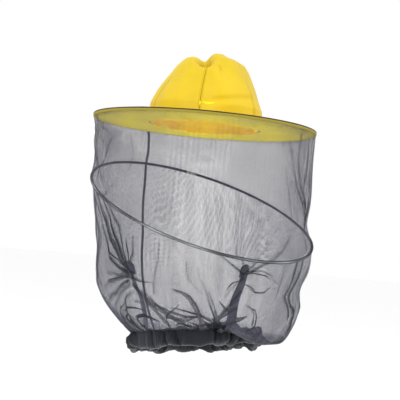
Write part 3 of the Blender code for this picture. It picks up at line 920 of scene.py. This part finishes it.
def make_wisps():
    """All the wisps as one mesh: narrow doubled folds of the net that taper to nothing at their ends."""
    rows, columns = 26, 7
    points, uvs, faces, drawn = [], [], [], []
    across = np.linspace(-0.5, 0.5, columns)
    t = np.linspace(0, 1, rows)
    for number, (width, off, dense, *line) in enumerate(WISPS):
        where = np.linspace(0, 1, len(line))
        az = np.radians(np.interp(t, where, [a for a, _ in line]))
        sh = np.interp(t, where, [h / 100 for _, h in line])
        centre = lower_net(az, np.minimum(sh, 1.0))
        centre[:, 2] -= np.clip(sh - 1, 0, 1) * LOWER_LENGTH
        side, normal, run = frame_along(centre, az)
        tail = 1.0 if line[-1][1] > 86 else 0.0
        taper = np.clip(t / 0.45, 0.06, 1) ** 0.8 * np.clip((1 - t) / 0.30, 0.08 + 0.92 * tail, 1) ** 0.8
        curl = 0.35 * np.sin(5 * t + number)[:, None] + 3.6 * across[None, :] ** 2
        lift = off / 1000 * taper[:, None] * (0.55 + 0.45 * curl)
        reach = across[None, :] * (width / 1000 * taper)[:, None]
        spot = centre[:, None] + side[:, None] * reach[..., None]
        spot = spot + normal[:, None] * lift[..., None]
        faces.append(grid_faces(rows, columns) + len(points) * rows * columns)
        points.append(spot.reshape(-1, 3))
        uvs.append(flat_of(across * width / 1000, run[:, None]))
        edge = 1 + 0.5 * (2 * np.abs(across[None, :])) ** 3
        drawn.append((dense * edge * np.ones((rows, 1))).ravel())
    points, faces, uvs, drawn = (np.concatenate(part) for part in (points, faces, uvs, drawn))
    return new_piece("net_wisps", points, faces, shaded_pleat_net, uvs, gather=drawn)


wisps = make_wisps()

# -------- straps

STRAP_WIDTH = {"left": 0.0125, "right": 0.0165}
STRAP_OVERLAP = {"left": 0.16, "right": 0.13}
STRAP_CLOTH = 0.0014


def strap_line(side):
    """The CAD strap's own run: the middles of its upper and lower ends."""
    points = node_points(f"strap_{side}")
    order = np.argsort(points[:, 2])
    count = max(3, len(points) // 5)
    return points[order[-count:]].mean(0), points[order[:count]].mean(0)


def make_strap(side):
    upper, lower = strap_line(side)
    upper = upper + (upper - lower) * STRAP_OVERLAP[side]
    t = np.linspace(0, 1, 60)
    out = unit(np.array([upper[0] + lower[0] - 2 * HEM_PLACE.translation.x, upper[1] + lower[1], 0]))
    run = lower - upper
    across = unit(np.cross(run, out))
    bow = -0.004 * np.sin(math.pi * t) + 0.0012 * np.sin(9 * t)
    centre = upper + run * t[:, None] + out * bow[:, None]
    lead = out * 0.004 + unit(run) * 0.010
    centre = centre + lead * step(t, 0.85, 1.0)[:, None]
    columns = np.linspace(-0.5, 0.5, 9)
    twist = 0.25 * np.sin(2.2 * t + (1 if side == "left" else 3))
    width = STRAP_WIDTH[side] * (0.80 + 0.20 * step(t, 0.0, 0.35) + 0.15 * step(t, 0.7, 1.0))
    tilt = across * np.cos(twist)[:, None] + out * np.sin(twist)[:, None]
    cup = -0.0016 * (2 * columns) ** 2 * (1 - 0.5 * t[:, None])
    points = centre[:, None] + out * cup[..., None]
    points = points + tilt[:, None] * (columns[None, :, None] * width[:, None, None])
    length = np.linalg.norm(run)
    uv = flat_of((columns + 0.5) * STRAP_WIDTH[side], (t * length)[:, None])
    faces = grid_faces(len(t), len(columns))
    return solidify(new_piece(f"elastic_strap_{side}", points, faces, elastic_cloth, uv), STRAP_CLOTH)


straps = {side: make_strap(side) for side in STRAP_TOPS}

KNOT_SIZE = {"left": (0.0078, 0.0135), "right": (0.0070, 0.0150)}


def make_knot(side):
    """The rolled end of the strap, tied into the net: a rounded stub of pleated tape."""
    points = node_points(f"strap_patch_{side}")
    centre = (points.min(0) + points.max(0)) / 2
    upper, lower = strap_line(side)
    down = unit(lower - upper)
    top = centre - down * 0.004
    half_width, half_length = KNOT_SIZE[side]
    rows, sides = 40, 48
    t, turn = np.meshgrid(np.linspace(-1, 1, rows), ring(sides), indexing="ij")
    cap = np.clip(1 - np.clip((-t - 0.35) / 0.65, 0, 1) ** 2.4, 0, 1) ** 0.5 * (1 - 0.22 * np.clip(t, 0, 1))
    fold = 1 + 0.10 * np.sin(7 * turn + 2 * t) * (0.4 + 0.6 * np.abs(t)) + 0.05 * np.sin(13 * turn)
    out = outward(np.arctan2(top[1], top[0]))
    across = unit(np.cross(down, out))
    out = np.cross(across, down)
    centre_line = top + down * (t * half_length)[..., None] - out * (0.0012 * t ** 2)[..., None]
    shape = centre_line + across * (np.cos(turn) * half_width * cap * fold)[..., None]
    shape = shape + out * (np.sin(turn) * half_width * 0.5 * cap * fold)[..., None]
    uv = flat_of(turn * half_width, t * half_length)
    return new_piece(f"strap_knot_{side}", shape, grid_faces(rows, sides, wrap=True), elastic_cloth, uv)


knots = {side: make_knot(side) for side in STRAP_TOPS}

# -------- crown

FRONT_SEAM = math.radians(267)
GORES = {"front_right": 0, "right": 1, "back_right": 2, "back_left": 3, "left": 4, "front_left": 5}
GORE_TURN = TAU / len(GORES)
PROFILE_RADIUS = (0.0985, 0.0965, 0.0870, 0.0790, 0.0700, 0.0605, 0.0515, 0.0340, 0.0160, 0.0)
PROFILE_HEIGHT = (0.0026, 0.0290, 0.0510, 0.0660, 0.0810, 0.0970, 0.1080, 0.1165, 0.1185, 0.1185)
GORE_LENGTH = 0.165
DENT_X = -0.010
DENT_DEPTH = 0.0110


def crown(azimuth, share):
    """The crown's cloth, from its base at share 0 to its middle at share 1, with a dent in its top."""
    knots = np.linspace(0, 1, len(PROFILE_RADIUS))
    radius = np.interp(share, knots, PROFILE_RADIUS)
    height = np.interp(share, knots, PROFILE_HEIGHT)
    points = outward(azimuth) * radius[:, None]
    points[:, 2] = height
    points[:, 0] += 0.0035 * step(height, 0.02, 0.10)
    rim = step(height, 0.090, 0.112)
    dx = points[:, 0] - (DENT_X - 0.06 * points[:, 1])
    points[:, 2] -= DENT_DEPTH * bell(dx, np.where(dx < 0, 0.0150, 0.0065)) * rim
    points[:, 2] += 0.0030 * bell(points[:, 0] - 0.012, 0.012) * rim
    front = np.clip(-np.sin(azimuth), 0, 1)
    pocket = bell(points[:, 0] + 0.009, 0.012) * bell(height - 0.104, 0.0095) * front
    points += np.stack([0.003 * pocket, 0.024 * pocket, -0.010 * pocket], -1)
    nick = bell(points[:, 0] - 0.0175 - 0.4 * (0.088 - height), 0.0024)
    nick *= bell(height - 0.089, 0.008) * front
    points[:, 1] += 0.0050 * nick
    ridge = bell(points[:, 0] - 0.012, 0.010) * bell(height - 0.078, 0.022) * front
    points[:, 1] -= 0.0040 * ridge
    slope = height - 0.030 - 0.22 * (points[:, 0] - 0.005)
    tuck = bell(slope, 0.006) * step(points[:, 0], -0.015, 0.03) * front
    points[:, 1] += 0.0045 * tuck
    room = step(share, 0.02, 0.15) * (1 - 0.6 * step(share, 0.85, 1.0))
    soft = waves(azimuth, share, (3, 5, 8), 21, 1.2) * 0.0022
    soft += waves(azimuth, share, (12, 17), 23, 2.0) * 0.0010
    return points + outward(azimuth) * (soft * room)[:, None]


CROWN_CLOTH = 0.0008
CROWN_ROWS = 130
GORE_COLUMNS = 60


def make_gore(side, index):
    """One gore. Its cloth turns in at both seams, which leaves a groove between neighbours."""
    across = np.linspace(0, 1, GORE_COLUMNS)
    share = np.linspace(0, 0.9985, CROWN_ROWS)
    az, sh = np.meshgrid(FRONT_SEAM + (index + across) * GORE_TURN, share)
    drift = 0.025 * np.sin(5.5 * sh + 0.6) * np.sin(az - 1.2)
    az = az + drift - (0.05 + 0.09 * sh) * np.clip(-np.sin(az), 0, 1) ** 2
    points = crown(az.ravel(), sh.ravel())
    radius = np.interp(sh.ravel(), np.linspace(0, 1, len(PROFILE_RADIUS)), PROFILE_RADIUS)
    edge = np.minimum(across, 1 - across)[None, :] * GORE_TURN * radius.reshape(az.shape)
    groove = 0.0016 * bell(edge, 0.0012).ravel()
    points = points - outward(az.ravel()) * (groove * step(radius, 0.004, 0.02))[:, None]
    points[:, 2] -= groove * step(-radius, -0.06, -0.03)
    uv = np.stack([edge.ravel(), sh.ravel() * GORE_LENGTH], -1)
    faces = grid_faces(CROWN_ROWS, GORE_COLUMNS)[:, ::-1]
    return solidify(new_piece(f"crown_gore_{side}", points, faces, crown_cloth, uv), CROWN_CLOTH, -1.0)


gores = {side: make_gore(side, index) for side, index in GORES.items()}

# -------- sweatband

SWEAT_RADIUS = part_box("sweatband")[1].x
SWEAT_LOW, SWEAT_TOP = (corner.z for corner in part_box("sweatband"))
SWEAT_CLOTH = 0.0009
SWEAT_DROP = 0.003


def sweatband(azimuth, share):
    """A soft strip sewn inside the crown's base, which hangs a little below the brim in uneven waves."""
    drop = 0.0022 + 0.0016 * waves(azimuth, share, (5, 8, 13), 41, 0.2)
    height = SWEAT_TOP + (SWEAT_LOW - drop - SWEAT_TOP) * share
    ripple = waves(azimuth, share, (6, 11, 17, 29), 42, 0.6) * 0.0010
    inward = 0.0016 + 0.0060 * step(share, 0.80, 1.0) + ripple * (0.3 + 0.7 * share)
    points = outward(azimuth) * (SWEAT_RADIUS - inward)[:, None]
    points[:, 2] = height
    return points


sweat = solidify(sleeve(
    "sweatband_loop", sweatband, ring(260), np.linspace(0, 1, 24), sweat_cloth,
    (TAU * SWEAT_RADIUS, SWEAT_TOP - SWEAT_LOW + SWEAT_DROP)
), SWEAT_CLOTH)

# -------- brim cloths and the tape over their edge

BRIM_CLOTH = 0.0005
SHOWN_CLOTH = BRIM_CLOTH - 0.0001
BINDING_WIDTH = 0.0090
BINDING_ROUND = 0.024


def brim_disc(node, side):
    """A taut ring of cloth over the brim's core, quilted by its stitches. side is 1 above and -1 below."""
    low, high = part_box(node)
    inner, outer, middle = SWEAT_RADIUS + 0.0004, high.x, (low.z + high.z) / 2

    def surface_of(azimuth, share):
        radius = inner + (outer - inner) * share
        dip = sum(bell(radius - row, 0.0011) for row in BRIM_STITCHES)
        swell = waves(azimuth, share, (5, 9, 16), 51, 1.4) * 0.00010 + 0.00004 * np.sin(110 * azimuth) * dip
        points = outward(azimuth) * radius[:, None]
        points[:, 2] = middle + side * (swell * np.sin(math.pi * share) + 0.00010 - 0.00014 * dip)
        return points

    return surface_of


def bound_path(azimuth, share):
    """The tape's way round the brim's edge: over the top, down the outer face and back below."""
    face = BRIM_FACE - BRIM_CLOTH / 2
    inner, wall = BRIM_RADIUS - BINDING_WIDTH, BRIM_RADIUS - BRIM_CLOTH / 2
    path = np.array([(inner, face), (wall - 0.0008, face), (wall, face - 0.0005), (wall, -face + 0.0005),
                     (wall - 0.0008, -face), (inner, -face)])
    run = np.append(0, np.cumsum(np.linalg.norm(np.diff(path, axis=0), axis=1)))
    radius = np.interp(share * run[-1], run, path[:, 0])
    height = np.interp(share * run[-1], run, path[:, 1])
    pucker = 0.00008 * np.sin(170 * azimuth + 9 * share) + 0.00006 * waves(azimuth, share, (13, 29), 52, 0.8)
    points = outward(azimuth) * radius[:, None]
    points[:, 2] = height + pucker * np.sign(height)
    return points


BRIM_ROUND = ring(480)
brim_cloths = {}
for node, side, surface in (
    ("brim_upper_cloth", 1, brim_top_cloth), ("brim_lower_cloth", -1, brim_under_cloth)
):
    brim_cloths[node] = solidify(sleeve(
        node.replace("cloth", "ring"), brim_disc(node, side), BRIM_ROUND, np.linspace(0, 1, 70), surface,
        (FLAT_ROUND, BRIM_RADIUS - SWEAT_RADIUS)
    ), SHOWN_CLOTH)
bound_tape = solidify(sleeve(
    "brim_bound_edge", bound_path, BRIM_ROUND, np.linspace(0, 1, 40), binding_cloth,
    (FLAT_ROUND, BINDING_ROUND)
), SHOWN_CLOTH)

# -------- riding, replacing and finishing

def place_piece(node):
    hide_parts(node)


RIDING = [
    *((gore, f"crown_panel_{side}", "crown_cloth", "hat") for side, gore in gores.items()),
    (sweat, "sweatband", "sweatband_cloth", "hat"),
    *((disc, node, "brim_cloth", "hat") for node, disc in brim_cloths.items()),
    (bound_tape, "brim_binding_tape", "dark_tape", "hat"),
    (hoop_tunnel, "hoop_casing", "dark_tape", "hoop"),
    (hem_casing, "hem_casing", "hem_cloth", "hem"),
]
for piece, node, slot, body in RIDING:
    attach(piece, body)
    place_piece(node)

# Cloth between two heights: each tier lists the body above, the body below, the two heights, and its pieces
# with the node and slot of each. Here each piece only has its transform baked in and its node hidden; it
# rides no body.
TIERS = (
    ("hat", "veil", NET_TOP_Z, TIER_Z, (
        (net_top, "net_top", "veil_net"),
        (seams["back_seam_tape_top"], "back_seam_top", "dark_tape"),
    )),
    ("veil", "hoop", TIER_Z, -0.120, (
        (net_middle, "net_middle", "veil_net"),
        (seams["back_seam_tape_middle"], "back_seam_middle", "dark_tape"),
    )),
    ("hoop", "hem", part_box("hoop_casing")[0].z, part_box("hem_casing")[1].z, (
        (net_lower, "net_lower", "veil_net"),
        (wisps, "net_lower", "veil_net"),
        (seams["back_seam_tape_lower"], "back_seam_lower", "dark_tape"),
        *((strap, f"strap_{side}", "elastic_tape") for side, strap in straps.items()),
        *((knot, f"strap_patch_{side}", "hem_cloth") for side, knot in knots.items()),
    )),
)
for above, below, start, end, pieces in TIERS:
    for piece, node, slot in pieces:
        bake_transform(piece)
        place_piece(node)

node_surfaces = {
    "brim_interlining": core_cloth,
    "brim_edge_wire": spring_steel,
    "brim_wire_ferrule": ferrule_metal,
    "hoop_wire": spring_steel,
    "hoop_ferrule": ferrule_metal,
    "hem_elastic": elastic_cloth,
}
for name, surface in node_surfaces.items():
    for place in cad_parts[name].material_slots:
        place.material = surface
